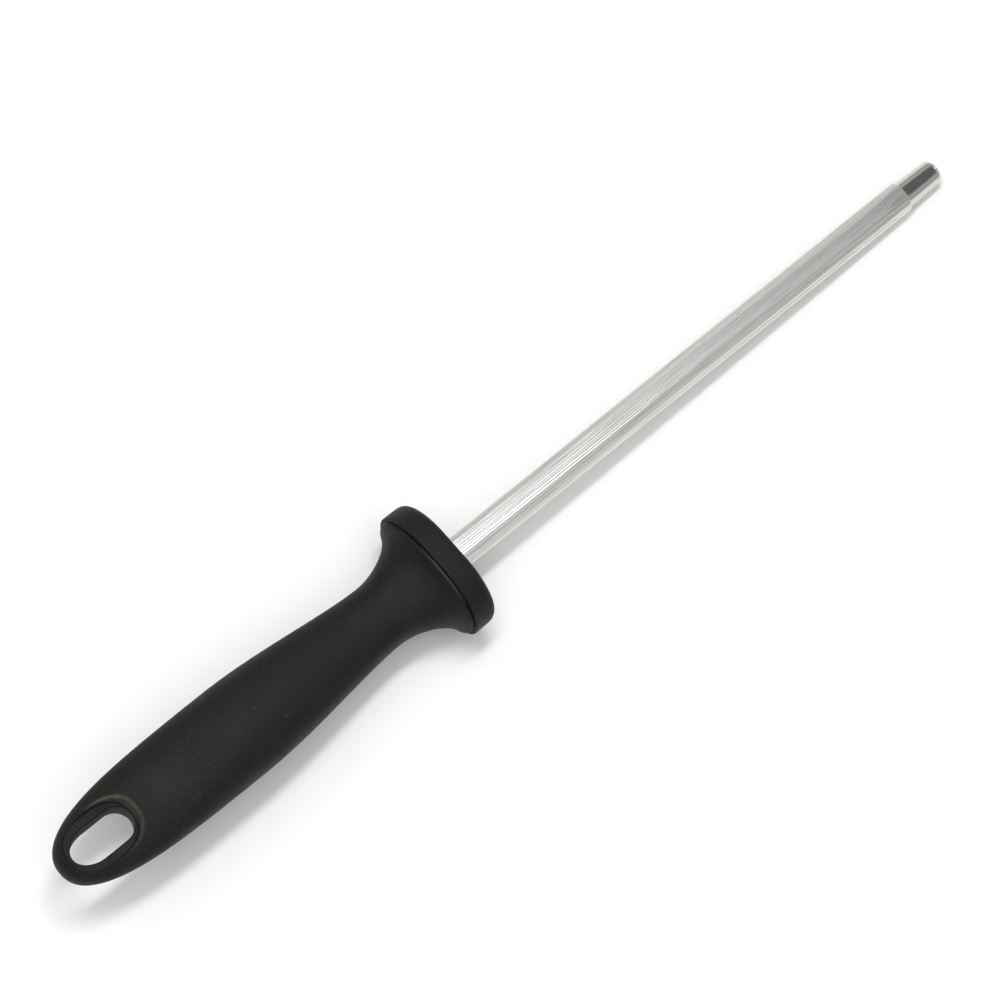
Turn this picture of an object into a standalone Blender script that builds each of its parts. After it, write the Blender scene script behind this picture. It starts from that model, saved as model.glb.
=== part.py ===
"""Knife sharpening steel: a ribbed steel bar, an oval guard, a moulded grip with a hanging eye,
and the core that holds the bar's tang inside the grip.

Each piece is drawn about the bar's axis. Its local X is 0 at the guard's front face and points to the nose.
A distance "behind" is counted from that face towards the tail.
"""

import math

import bmesh
import bpy

MM = 0.001
GAP = 0.3 * MM  # left between two pieces that bear on each other

# The bar: ribbed working length, polished nose and tang
ROD_LENGTH = 200 * MM
ROD_DIAMETER = 10 * MM
RIB_COUNT = 36
RIB_DEPTH = 0.22 * MM
NOSE_LENGTH = 14.5 * MM
NOSE_STEP = 0.55 * MM  # the nose starts this much below the ribs all round
NOSE_TAPER = 0.35 * MM  # and loses this much more all round by its end
NOSE_ROUND = 2 * MM
TANG_DIAMETER = 7.5 * MM
TANG_FLATS = 6 * MM  # across the two flats
TANG_GROOVE_DEPTH = 0.8 * MM
TANG_GROOVE_WIDTH = 4 * MM
TANG_GROOVE_COUNT = 3
TANG_GROOVE_PITCH = 9 * MM
TANG_TO_EYE = 20 * MM  # solid plastic between the tang's end and the eye

# The guard
GUARD_WIDTH = 43.7 * MM
GUARD_HEIGHT = 33 * MM
GUARD_THICKNESS = 8.5 * MM
GUARD_CROWN = 0.8 * MM  # how far the oval would rise above its two flats
GUARD_DRAFT = 0.1 * MM  # the oval is this much smaller all round at the front
GUARD_FRONT_ROUND = 3 * MM
GUARD_REAR_ROUND = 0.6 * MM
GUARD_POWER = 2.2
BOSS_WALL = 4 * MM
BOSS_LENGTH = 5 * MM
SHOULDER_WALL = 2.5 * MM  # plastic that the bar's shoulder bears on

# The grip
HANDLE_LENGTH = 150 * MM  # guard's front face to the tail's end
FLANGE_STEP = 1.2 * MM  # the flange is this much smaller than the guard all round
FLANGE_THICKNESS = 1.2 * MM
FLANGE_ROUND = 0.5 * MM
FLARE_POWER = 1.73  # 2 would be a quarter of an ellipse from the flange to the neck
NECK_BEHIND = 28.1 * MM
NECK_WIDTH = 20.8 * MM
NECK_THICKNESS = 17.6 * MM
BELLY_TO_END = 65 * MM
BELLY_WIDTH = 29.8 * MM
BELLY_THICKNESS = 23 * MM
SWELL_BIAS = 0.86  # under 1, the grip widens early behind the neck
TAIL_THICKNESS = 11 * MM
TAIL_ROUND = 4.5 * MM
TAPER_POWER = 4  # the grip keeps its width, then closes to the tail
TAIL_POWER = 2.3
SECTION_POWER = 2.3

# The hanging eye
EYE_LENGTH = 21.6 * MM
EYE_WIDTH = 10.9 * MM
EYE_TAIL_REACH = 8.3 * MM  # the end near the tail is half an ellipse, this long
EYE_END_WALL = 4.7 * MM
EYE_THICKNESS = 8 * MM  # between the floors of the two recesses
RECESS_SIDE_MARGIN = 3 * MM
RECESS_BODY_MARGIN = 0.3 * MM
RECESS_TAIL_MARGIN = 1.5 * MM
RECESS_SLOPE = 1.8 * MM
RECESS_POWER = 2.4

# The core
CORE_WALL = 1.9 * MM
CORE_BELLY_WALL = 4 * MM
CORE_END_WALL = 4 * MM
CORE_RING_HEIGHT = 1 * MM
CORE_RING_WIDTH = 3 * MM
CORE_FLARE_SHARE = 0.5  # the core widens over this much of its length behind the neck

# How finely the shapes are divided
ROUND_POINTS = 48
INNER_POINTS = 32
FLARE_SECTIONS = 9
SWELL_SECTIONS = 9
TAPER_SECTIONS = 13
NOSE_STEPS = 4
EDGE_STEPS = 3
END_ANGLE = math.radians(88.5)
SHARP_ANGLE = math.radians(30)

# Worked out from the sizes above
GRIP_FRONT = GUARD_THICKNESS + GAP
BOSS_DIAMETER = ROD_DIAMETER + 2 * BOSS_WALL
BOSS_END = GUARD_THICKNESS + BOSS_LENGTH
ROD_SEAT = BOSS_END - SHOULDER_WALL
NOSE_ROOT = ROD_DIAMETER / 2 - NOSE_STEP
NOSE_END = NOSE_ROOT - NOSE_TAPER
BELLY_BEHIND = HANDLE_LENGTH - BELLY_TO_END
EYE_BEHIND = HANDLE_LENGTH - EYE_END_WALL - EYE_LENGTH / 2
TANG_END = EYE_BEHIND - EYE_LENGTH / 2 - TANG_TO_EYE
CORE_FRONT = BOSS_END + GAP
CORE_END = TANG_END + CORE_END_WALL
FLANGE_WIDTH = GUARD_WIDTH - 2 * FLANGE_STEP
FLANGE_HEIGHT = GUARD_HEIGHT - 2 * FLANGE_STEP
FLANGE_REAR = GRIP_FRONT + FLANGE_THICKNESS


def oval(half_width, half_height, power=2.0, count=ROUND_POINTS):
    """Points (across, up) round a superellipse, with a level side at its top and bottom."""
    points = []
    for index in range(count):
        angle = 2 * math.pi * (index + 0.5) / count
        across_by = half_width * math.copysign(abs(math.cos(angle)) ** (2 / power), math.cos(angle))
        up_by = half_height * math.copysign(abs(math.sin(angle)) ** (2 / power), math.sin(angle))
        points.append((across_by, up_by))
    return points


def flattened(points, half_height):
    """The same points with none above or below half_height."""
    return [(y, max(-half_height, min(half_height, z))) for y, z in points]


def slot(half_length, half_width, tail_reach, count=ROUND_POINTS):
    """Points (x, y) round a slot. Its front end is half a circle, its rear end half an ellipse."""
    points = []
    for index in range(count):
        angle = 2 * math.pi * (index + 0.5) / count
        reach = half_width if math.cos(angle) > 0 else tail_reach
        shift = math.copysign(half_length - reach, math.cos(angle))
        points.append((shift + reach * math.cos(angle), half_width * math.sin(angle)))
    return points


def across(behind, outline):
    """An outline (y, z) stood across the axis."""
    return [(-behind, y, z) for y, z in outline]


def loft(name, sections):
    """A closed solid that passes through a row of sections with equal numbers of points."""
    mesh = bmesh.new()
    rings = [[mesh.verts.new(point) for point in section] for section in sections]
    for ring, following in zip(rings, rings[1:]):
        for index in range(len(ring)):
            mesh.faces.new((ring[index - 1], ring[index], following[index], following[index - 1]))
    mesh.faces.new(rings[0])
    mesh.faces.new(rings[-1])
    bmesh.ops.recalc_face_normals(mesh, faces=mesh.faces)
    data = bpy.data.meshes.new(name)
    mesh.to_mesh(data)
    mesh.free()
    piece = bpy.data.objects.new(name, data)
    bpy.context.scene.collection.objects.link(piece)
    return piece


def turned(name, stations):
    """A solid of revolution about the axis, through (behind, radius) stations."""
    sections = [across(behind, oval(reach, reach, count=INNER_POINTS)) for behind, reach in stations]
    return loft(name, sections)


def material(name, colour, roughness, metallic):
    made = bpy.data.materials.new(name)
    made.use_nodes = True
    shader = made.node_tree.nodes["Principled BSDF"]
    shader.inputs["Base Color"].default_value = (*colour, 1)
    shader.inputs["Roughness"].default_value = roughness
    shader.inputs["Metallic"].default_value = metallic
    return made


def finish(piece, made):
    """Gives the piece its material and shades its round sides smooth."""
    piece.data.materials.append(made)
    piece.data.shade_smooth()
    piece.data.set_sharp_from_angle(angle=SHARP_ANGLE)


def cut(piece, cutter):
    """Cuts the cutter's shape out of the piece."""
    cutter.hide_render = True
    cutter.display_type = "WIRE"
    cutter.parent = piece
    modifier = piece.modifiers.new(cutter.name, "BOOLEAN")
    modifier.operation = "DIFFERENCE"
    modifier.solver = "EXACT"
    modifier.object = cutter


def ribbed(radius, count):
    """Points (y, z) round the bar, alternately on a rib's crest and in the groove beside it."""
    points = []
    for index in range(count):
        angle = 2 * math.pi * (index + 0.5) / count
        reach = radius if index % 2 == 0 else radius - RIB_DEPTH
        points.append((reach * math.cos(angle), reach * math.sin(angle)))
    return points


def tang_stations(gap):
    """(behind, radius, half height) along the tang. A gap above 0 gives the room round it."""
    radius = TANG_DIAMETER / 2 + gap
    flat = TANG_FLATS / 2 + gap
    grooves = []
    for index in range(TANG_GROOVE_COUNT):
        end = TANG_END - TANG_GROOVE_WIDTH - index * TANG_GROOVE_PITCH
        grooves.append(end - TANG_GROOVE_WIDTH)
    stations = []
    for start in sorted(grooves):
        low = start + gap
        high = start + TANG_GROOVE_WIDTH - gap
        stations.append((low, radius, flat))
        stations.append((low, radius - TANG_GROOVE_DEPTH, flat - TANG_GROOVE_DEPTH))
        stations.append((high, radius - TANG_GROOVE_DEPTH, flat - TANG_GROOVE_DEPTH))
        stations.append((high, radius, flat))
    stations.append((TANG_END + gap, radius, flat))
    return stations


def tang_sections(front, gap, count):
    """Sections of the tang, round at its front and flattened from the first groove to its end."""
    stations = tang_stations(gap)
    radius = TANG_DIAMETER / 2 + gap
    flats_start = stations[0][0] - TANG_GROOVE_PITCH
    sections = [across(front, oval(radius, radius, count=count))]
    sections.append(across(flats_start + gap, oval(radius, radius, count=count)))
    for behind, reach, flat in stations:
        sections.append(across(behind, flattened(oval(reach, reach, count=count), flat)))
    return sections


def make_rod(steel):
    """One bar: nose, ribbed length, shoulder and tang."""
    count = 2 * RIB_COUNT
    nose_start = ROD_LENGTH - NOSE_LENGTH
    sections = []
    for step in range(NOSE_STEPS + 1):
        angle = math.pi / 2 * step / NOSE_STEPS
        behind = -(ROD_LENGTH - NOSE_ROUND + NOSE_ROUND * math.cos(angle))
        reach = NOSE_END - NOSE_ROUND + NOSE_ROUND * math.sin(angle)
        sections.append(across(behind, oval(reach, reach, count=count)))
    sections.append(across(-nose_start, oval(NOSE_ROOT, NOSE_ROOT, count=count)))
    sections.append(across(-nose_start, ribbed(ROD_DIAMETER / 2, count)))
    sections.append(across(ROD_SEAT, ribbed(ROD_DIAMETER / 2, count)))
    sections.extend(tang_sections(ROD_SEAT, 0, count))
    rod = loft("sharpening_rod", sections)
    finish(rod, steel)
    return rod


def guard_section(behind, inset, draft):
    """The guard's oval with its two flats. Inset makes all of it smaller, and draft only its round ends."""
    half_width = GUARD_WIDTH / 2 - inset - draft
    half_height = GUARD_HEIGHT / 2 - inset
    outline = oval(half_width, half_height + GUARD_CROWN - draft, GUARD_POWER)
    return across(behind, flattened(outline, half_height))


def make_guard(plastic):
    """The oval plate, with rounded edges and a boss that seats in the grip."""
    sections = []
    for step in range(EDGE_STEPS + 1):
        angle = math.pi / 2 * step / EDGE_STEPS
        behind = GUARD_FRONT_ROUND * (1 - math.sin(angle))
        inset = GUARD_FRONT_ROUND * (1 - math.cos(angle))
        sections.insert(0, guard_section(behind, inset, GUARD_DRAFT))
    for step in range(EDGE_STEPS + 1):
        angle = math.pi / 2 * step / EDGE_STEPS
        behind = GUARD_THICKNESS - GUARD_REAR_ROUND * (1 - math.sin(angle))
        sections.append(guard_section(behind, GUARD_REAR_ROUND * (1 - math.cos(angle)), 0))
    boss = oval(BOSS_DIAMETER / 2, BOSS_DIAMETER / 2)
    sections.append(across(GUARD_THICKNESS, boss))
    sections.append(across(BOSS_END, boss))
    guard = loft("guard", sections)
    cut(guard, make_rod_bore())
    finish(guard, plastic)
    return guard


def make_rod_bore():
    """The room in the guard for the bar: wide to the bar's shoulder, then as narrow as the tang."""
    seat = ROD_DIAMETER / 2 + GAP
    tang = TANG_DIAMETER / 2 + GAP
    shoulder = ROD_SEAT + GAP
    stations = [(-GAP, seat), (shoulder, seat), (shoulder, tang), (BOSS_END + GAP, tang)]
    return turned("rod_bore", stations)


def smooth(share):
    return share * share * (3 - 2 * share)


def mix(start, end, share):
    return start + (end - start) * share


def flare_section(behind):
    """From the flange to the neck, on a curve that is concave to the outside."""
    share = (behind - FLANGE_REAR) / (NECK_BEHIND - FLANGE_REAR)
    drop = (1 - (1 - share) ** FLARE_POWER) ** (1 / FLARE_POWER)
    half_width = mix(FLANGE_WIDTH, NECK_WIDTH, drop) / 2
    half_height = mix(FLANGE_HEIGHT, NECK_THICKNESS, drop) / 2
    return across(behind, oval(half_width, half_height, SECTION_POWER))


def swell_section(behind):
    """From the neck to the belly."""
    share = (behind - NECK_BEHIND) / (BELLY_BEHIND - NECK_BEHIND)
    rise = smooth(share**SWELL_BIAS)
    half_width = mix(NECK_WIDTH, BELLY_WIDTH, rise) / 2
    half_height = mix(NECK_THICKNESS, BELLY_THICKNESS, rise) / 2
    return across(behind, oval(half_width, half_height, SECTION_POWER))


def taper_section(share):
    """From the belly to the rounded tail, where share goes from 0 to almost 1."""
    behind = BELLY_BEHIND + BELLY_TO_END * share
    half_width = BELLY_WIDTH / 2 * (1 - share**TAPER_POWER) ** (1 / TAIL_POWER)
    half_height = mix(BELLY_THICKNESS, TAIL_THICKNESS, smooth(share)) / 2
    into_round = max(0.0, behind - (HANDLE_LENGTH - TAIL_ROUND)) / TAIL_ROUND
    half_height *= math.sqrt(1 - into_round**2)
    return across(behind, oval(half_width, half_height, SECTION_POWER))


def grip_sections():
    """The grip from its flange to its tail."""
    sections = []
    half_width = FLANGE_WIDTH / 2
    half_height = FLANGE_HEIGHT / 2
    edge = FLANGE_ROUND
    sections.append(across(GRIP_FRONT, oval(half_width - edge, half_height - edge, SECTION_POWER)))
    sections.append(across(GRIP_FRONT + edge, oval(half_width, half_height, SECTION_POWER)))
    for step in range(FLARE_SECTIONS):
        angle = math.pi / 2 * step / FLARE_SECTIONS
        share = 1 - math.cos(angle)
        sections.append(flare_section(mix(FLANGE_REAR, NECK_BEHIND, share)))
    for step in range(SWELL_SECTIONS):
        sections.append(swell_section(mix(NECK_BEHIND, BELLY_BEHIND, step / SWELL_SECTIONS)))
    for step in range(TAPER_SECTIONS + 1):
        sections.append(taper_section(math.sin(END_ANGLE * step / TAPER_SECTIONS)))
    return sections


def make_grip(plastic):
    """The moulded grip, hollow for the core, with a recessed eye through its tail."""
    grip = loft("grip", grip_sections())
    cut(grip, make_core_room())
    cut(grip, make_eye())
    cut(grip, make_recess("recess_top", 1))
    cut(grip, make_recess("recess_bottom", -1))
    finish(grip, plastic)
    return grip


def core_stations(gap):
    """(behind, radius) along the outside of the core. A gap above 0 gives the room round it."""
    front = TANG_DIAMETER / 2 + CORE_WALL + gap
    belly = TANG_DIAMETER / 2 + CORE_BELLY_WALL + gap
    ring = belly + CORE_RING_HEIGHT
    widening = mix(NECK_BEHIND, CORE_END, CORE_FLARE_SHARE)
    first = widening + CORE_RING_WIDTH
    last = CORE_END - CORE_RING_WIDTH
    stations = [(NECK_BEHIND, front), (widening, belly)]
    for start in (first, (first + last - CORE_RING_WIDTH) / 2, last - CORE_RING_WIDTH):
        low = start - gap
        high = start + CORE_RING_WIDTH + gap
        stations.extend([(low, belly), (low, ring), (high, ring), (high, belly)])
    stations.append((CORE_END + gap, belly))
    return stations


def make_core_room():
    """The hollow in the grip: a socket for the guard's boss, then the room for the core."""
    boss = BOSS_DIAMETER / 2 + GAP
    front = core_stations(GAP)[0][1]
    socket_end = BOSS_END + GAP
    stations = [(GUARD_THICKNESS, boss), (socket_end, boss), (socket_end, front)]
    stations.extend(core_stations(GAP))
    return turned("core_room", stations)


def make_core(plastic):
    """The core moulded on the tang, with rings that lock it into the grip."""
    front = core_stations(0)[0][1]
    stations = [(CORE_FRONT, front)]
    stations.extend(core_stations(0))
    core = turned("tang_core", stations)
    cut(core, loft("tang_bore", tang_sections(CORE_FRONT - GAP, GAP, INNER_POINTS)))
    finish(core, plastic)
    return core


def make_eye():
    """The slot to hang the tool by, right through the tail."""
    outline = slot(EYE_LENGTH / 2, EYE_WIDTH / 2, EYE_TAIL_REACH)
    sections = []
    for height in (-BELLY_THICKNESS, BELLY_THICKNESS):
        sections.append([(x - EYE_BEHIND, y, height) for x, y in outline])
    return loft("eye", sections)


def make_recess(name, side):
    """The sloping recess round the eye on one side of the tail. Its floor is level."""
    half_length = (EYE_LENGTH + RECESS_BODY_MARGIN + RECESS_TAIL_MARGIN) / 2
    half_width = EYE_WIDTH / 2 + RECESS_SIDE_MARGIN
    middle = (RECESS_BODY_MARGIN - RECESS_TAIL_MARGIN) / 2 - EYE_BEHIND
    sections = []
    for height, spread in ((EYE_THICKNESS / 2, 0), (BELLY_THICKNESS / 2, RECESS_SLOPE)):
        outline = oval(half_length + spread, half_width + spread, RECESS_POWER)
        sections.append([(middle + x, y, side * height) for x, y in outline])
    return loft(name, sections)


def clear_scene():
    for piece in list(bpy.data.objects):
        bpy.data.objects.remove(piece)


def main():
    clear_scene()
    steel = material("chromed_steel", (0.62, 0.63, 0.62), 0.28, 1.0)
    black = material("black_plastic", (0.016, 0.016, 0.015), 0.5, 0.0)
    grey = material("grey_plastic", (0.12, 0.12, 0.12), 0.6, 0.0)
    face_centre = bpy.data.objects.new("guard_face_centre", None)
    face_centre.location = ((HANDLE_LENGTH - ROD_LENGTH) / 2, 0, GUARD_HEIGHT / 2)
    bpy.context.scene.collection.objects.link(face_centre)
    for piece in (make_rod(steel), make_guard(black), make_grip(black), make_core(grey)):
        piece.parent = face_centre


main()
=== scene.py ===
"""Sharpening steel: a ribbed steel bar, an oval guard and a black moulded grip with a hanging eye.

The packed model is the fixed frame. Each operator shapes one piece round it, and the last sets the stage.
A distance "behind" is counted from the guard's front face towards the tail, along the bar's axis.
"""

import math

import bmesh
import bpy
from mathutils import Euler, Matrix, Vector


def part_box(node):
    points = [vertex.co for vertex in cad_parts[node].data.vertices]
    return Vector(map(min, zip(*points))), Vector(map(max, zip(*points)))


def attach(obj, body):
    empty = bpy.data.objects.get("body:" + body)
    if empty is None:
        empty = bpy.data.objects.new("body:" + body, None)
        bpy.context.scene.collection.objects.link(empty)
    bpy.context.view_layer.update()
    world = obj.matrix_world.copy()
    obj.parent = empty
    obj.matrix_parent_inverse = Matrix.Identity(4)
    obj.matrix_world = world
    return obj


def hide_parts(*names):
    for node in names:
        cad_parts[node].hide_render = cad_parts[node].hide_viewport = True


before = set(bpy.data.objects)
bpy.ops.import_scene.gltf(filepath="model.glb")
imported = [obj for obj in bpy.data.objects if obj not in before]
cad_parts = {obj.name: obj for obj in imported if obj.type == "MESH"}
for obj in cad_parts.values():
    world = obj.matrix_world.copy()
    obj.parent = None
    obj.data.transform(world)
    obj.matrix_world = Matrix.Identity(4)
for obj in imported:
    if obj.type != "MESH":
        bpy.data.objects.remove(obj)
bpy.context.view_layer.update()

bl_info = {
    "name": "Sharpening Steel",
    "version": (1, 0, 0),
    "blender": (4, 5, 0),
    "location": "View3D > Sidebar > Steel",
    "description": "Shapes and finishes a butcher's sharpening steel and sets its stage",
    "category": "Add Mesh",
}

MM = 0.001
MERGE = 0.01 * MM  # vertices this close are one
BAR_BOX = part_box("sharpening_rod")
GUARD_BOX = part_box("guard")
GRIP_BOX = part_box("grip")
CORE_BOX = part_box("tang_core")

# Places that every piece shares, taken from the frame
FRONT_X = GUARD_BOX[1].x
AXIS_Z = (GUARD_BOX[0].z + GUARD_BOX[1].z) / 2
GRIP_FRONT = FRONT_X - GRIP_BOX[1].x
TAIL_END = FRONT_X - GRIP_BOX[0].x
BOSS_END = FRONT_X - GUARD_BOX[0].x
TANG_END = FRONT_X - BAR_BOX[0].x
NOSE_END = BAR_BOX[1].x - FRONT_X
CORE_END = FRONT_X - CORE_BOX[0].x


def at(behind, across=0.0, up=0.0):
    """A point that far behind the guard's front face, and that far off the bar's axis."""
    return Vector((FRONT_X - behind, across, AXIS_Z + up))


# ---------------------------------------------------------------- sizes and colours


def length(name, description, default):
    return bpy.props.FloatProperty(
        name=name, description=description, default=default, min=0.0, unit="LENGTH", precision=4
    )


def colour(name, description, default):
    return bpy.props.FloatVectorProperty(
        name=name, description=description, default=default, min=0.0, max=1.0, size=3, subtype="COLOR"
    )


def share(name, description, default):
    return bpy.props.FloatProperty(
        name=name, description=description, default=default, min=0.0, max=1.0, subtype="FACTOR"
    )


class BarSize(bpy.types.PropertyGroup):
    """Sizes of the steel bar."""

    diameter: length("Diameter", "Across the ribs", 10 * MM)
    ribs: bpy.props.IntProperty(name="Ribs", description="Ribs round the bar", default=36, min=12)
    rib_depth: length("Rib depth", "Depth of the grooves between the ribs", 0.12 * MM)
    nose_length: length("Nose length", "Length of the polished nose", 14.5 * MM)
    nose_step: length("Nose step", "How far the nose lies below the ribs", 0.55 * MM)
    nose_taper: length("Nose taper", "How much the nose narrows on each side", 0.35 * MM)
    nose_round: length("Nose rounding", "Rounding of the nose's end", 2 * MM)
    shoulder_round: length("Shoulder rounding", "Hollow rounding where the nose meets the ribs", 0.25 * MM)
    seat: length("Seat", "How far the ribbed length runs into the guard", 11 * MM)
    tang: length("Tang", "Diameter of the tang", 7.5 * MM)
    flats: length("Flats", "Across the tang's two flats", 6 * MM)


class GuardSize(bpy.types.PropertyGroup):
    """Sizes of the guard."""

    width: length("Width", "Across the guard's oval", 43.7 * MM)
    height: length("Height", "Between the guard's two flats", GUARD_BOX[1].z - GUARD_BOX[0].z)
    thickness: length("Thickness", "Thickness of the plate", 8.5 * MM)
    crown: length("Crown", "How far the oval would rise above each flat", 0.8 * MM)
    draft: length("Draft", "How much smaller the oval is at the front", 0.1 * MM)
    front_round: length("Front rounding", "Rounding of the front edge", 3 * MM)
    rear_round: length("Rear rounding", "Rounding of the rear edge", 0.35 * MM)
    boss: length("Boss", "Diameter of the boss that seats in the grip", 18 * MM)
    gap: length("Gap", "Room between the bar and the guard", 0.3 * MM)


class GripSize(bpy.types.PropertyGroup):
    """Sizes of the moulded grip."""

    flange_width: length("Flange width", "Width of the flange behind the guard", 41.3 * MM)
    flange_height: length("Flange height", "Height of the flange behind the guard", 30.6 * MM)
    flange: length("Flange", "Thickness of the flange", 1.2 * MM)
    seam: length("Seam", "Width of the line between the guard and the flange", 0.04 * MM)
    neck_behind: length("Neck place", "Where the grip is slimmest", 28.1 * MM)
    neck_width: length("Neck width", "Width at the neck", 20.8 * MM)
    neck_height: length("Neck height", "Thickness at the neck", 17.6 * MM)
    belly_to_end: length("Belly to end", "From the widest place to the tail's end", 65 * MM)
    belly_width: length("Belly width", "Greatest width", 29.8 * MM)
    belly_height: length("Belly height", "Greatest thickness", 23 * MM)
    tail_height: length("Tail height", "Thickness at the tail", 11 * MM)
    tail_round: length("Tail rounding", "Rounding of the tail's end", 4.5 * MM)
    socket: length("Socket", "Diameter of the room for the guard's boss", 18.6 * MM)
    room_front: length("Room front", "Diameter of the room at the neck", 11.9 * MM)
    room_rear: length("Room rear", "Diameter of the room in the belly", 18.4 * MM)


class EyeSize(bpy.types.PropertyGroup):
    """Sizes of the hanging eye and the recess round it."""

    length: length("Length", "Length of the eye", 21.6 * MM)
    width: length("Width", "Width of the eye", 10.9 * MM)
    tail_reach: length("Tail reach", "How long the rounding of the end near the tail is", 8.3 * MM)
    end_wall: length("End wall", "Plastic between the eye and the tail's end", 4.7 * MM)
    thickness: length("Thickness", "Between the floors of the two recesses", 8 * MM)
    side_margin: length("Side margin", "Recess beside the eye", 3 * MM)
    body_margin: length("Body margin", "Recess in front of the eye", 0.3 * MM)
    tail_margin: length("Tail margin", "Recess behind the eye", 1.5 * MM)
    slope: length("Slope", "How far the recess's wall leans out", 1.8 * MM)
    rim_round: length("Rim rounding", "Rounding of the eye's rim", 0.5 * MM)


class Finish(bpy.types.PropertyGroup):
    """Colours and gloss of the finishes."""

    plastic: colour("Plastic", "Colour of the guard and the grip", (0.0036, 0.0036, 0.0031))
    # Lighter colour used for real scuffs and for painted highlights on the grain's peaks, the flange edge
    # and the ledge in front of the eye.
    plastic_scuffed_and_lit: colour("Worn plastic", "Colour of rubbed plastic edges", (0.062, 0.060, 0.050))
    plastic_gloss: share("Plastic gloss", "How smooth the moulded plastic is", 0.42)
    steel: colour("Steel", "Colour of the ribbed steel", (0.86, 0.86, 0.845))
    steel_dark: colour("Dark steel", "Colour in the grooves", (0.36, 0.36, 0.345))
    polished: colour("Polished steel", "Colour of the polished nose", (0.66, 0.66, 0.64))


class Stage(bpy.types.PropertyGroup):
    """The floor, the lights and the camera."""

    floor: colour("Floor", "Colour of the floor", (0.86, 0.86, 0.85))
    strip: bpy.props.FloatProperty(name="Strip", description="Brightness of the strip light", default=22.0)
    panel: bpy.props.FloatProperty(name="Panel", description="Brightness of the ceiling panel", default=1.6)
    card: bpy.props.FloatProperty(name="Card", description="Brightness of the nose's card", default=6.0)
    ceiling: share("Ceiling", "Brightness of the room overhead", 0.16)
    walls: share("Walls", "Brightness of the room at eye level", 0.5)
    azimuth: bpy.props.FloatProperty(
        name="Azimuth", description="Way the camera looks", default=math.radians(61.96), subtype="ANGLE"
    )
    elevation: bpy.props.FloatProperty(
        name="Elevation", description="Height of the camera", default=math.radians(69.96), subtype="ANGLE"
    )
    roll: bpy.props.FloatProperty(
        name="Roll", description="Turn of the camera", default=math.radians(21.7), subtype="ANGLE"
    )
    distance: length("Distance", "From the camera to what it looks at", 1.4877)
    lens: bpy.props.FloatProperty(name="Lens", description="Focal length", default=179.82, unit="CAMERA")


# ---------------------------------------------------------------- modelling helpers


def start_ring(name, columns, station, filled=True):
    """A circle across the axis, in edit mode and all selected. Its vertices keep their column's number."""
    behind, half_width, half_height = station
    bpy.ops.object.select_all(action="DESELECT")
    bpy.ops.mesh.primitive_circle_add(
        vertices=columns,
        radius=half_width,
        fill_type="NGON" if filled else "NOTHING",
        location=at(behind),
        rotation=(0, math.pi / 2, 0),
    )
    piece = bpy.context.object
    piece.name = name
    piece.data.name = name
    bpy.ops.object.transform_apply(location=True, rotation=True, scale=True)
    bpy.ops.object.mode_set(mode="EDIT")
    number_columns(columns)
    bpy.ops.mesh.select_all(action="SELECT")
    bpy.ops.transform.resize(value=(1, 1, half_height / half_width), center_override=at(behind))
    return piece


def number_columns(columns, level_centre=None):
    """Numbers the ring's vertices round the axis, or round an upright line if a centre is given."""
    data = bpy.context.object.data
    mesh = bmesh.from_edit_mesh(data)
    layer = mesh.verts.layers.int.new("column")
    for vertex in mesh.verts:
        if level_centre:
            turn = math.atan2(vertex.co.y - level_centre.y, vertex.co.x - level_centre.x)
        else:
            turn = math.atan2(vertex.co.z - AXIS_Z, vertex.co.y)
        vertex[layer] = round(turn / (2 * math.pi) * columns) % columns
    bmesh.update_edit_mesh(data)


def extend(stations):
    """Extrudes the selected ring on from its own station through the rest.

    A station is (behind, half width, half height).
    """
    for (behind, wide, high), (next_behind, next_wide, next_high) in zip(stations, stations[1:]):
        bpy.ops.mesh.extrude_region_move(TRANSFORM_OT_translate={"value": (behind - next_behind, 0, 0)})
        bpy.ops.transform.resize(
            value=(1, next_wide / wide, next_high / high), center_override=at(next_behind)
        )


def pick(test):
    """Selects the vertices for which test(place, column) is true."""
    bpy.ops.mesh.select_mode(type="VERT")
    data = bpy.context.object.data
    mesh = bmesh.from_edit_mesh(data)
    layer = mesh.verts.layers.int.get("column")
    for vertex in mesh.verts:
        vertex.select = test(vertex.co, vertex[layer])
    mesh.select_flush_mode()
    bmesh.update_edit_mesh(data)


def square_up(columns, power, test, level_centre=None):
    """Pushes the rings' diagonals out, which turns each ellipse into a superellipse of that power."""
    centre = level_centre or at(0)
    for step in range(1, columns // 4):
        angle = 2 * math.pi * step / columns
        factor = (math.cos(angle) ** power + math.sin(angle) ** power) ** (-1 / power)
        alike = {step, columns // 2 - step, columns // 2 + step, columns - step}
        pick(lambda place, column: column in alike and test(place))
        value = (factor, factor, 1) if level_centre else (1, factor, factor)
        bpy.ops.transform.resize(value=value, center_override=centre)


def tightened(stations, distance, sharpness=math.radians(50)):
    """The stations with a support on each side of every sharp corner, so that subdivision keeps it."""
    held = [stations[0]]
    for before, corner, after in zip(stations, stations[1:], stations[2:]):
        arrive = Vector(corner[:2]) - Vector(before[:2])
        leave = Vector(after[:2]) - Vector(corner[:2])
        if arrive.angle(leave) > sharpness:
            near = max(1 - distance / arrive.length, 0.5)
            far = min(distance / leave.length, 0.5)
            held.append(tuple(a + (b - a) * near for a, b in zip(before, corner)))
            held.append(corner)
            held.append(tuple(a + (b - a) * far for a, b in zip(corner, after)))
        else:
            held.append(corner)
    held.append(stations[-1])
    return held


def apply_modifier(piece, kind, **settings):
    modifier = piece.modifiers.new(kind.title(), kind)
    for name, value in settings.items():
        setattr(modifier, name, value)
    bpy.context.view_layer.objects.active = piece
    bpy.ops.object.modifier_apply(modifier=modifier.name)


def subdivide(piece, levels):
    apply_modifier(piece, "SUBSURF", levels=levels, render_levels=levels)


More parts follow.
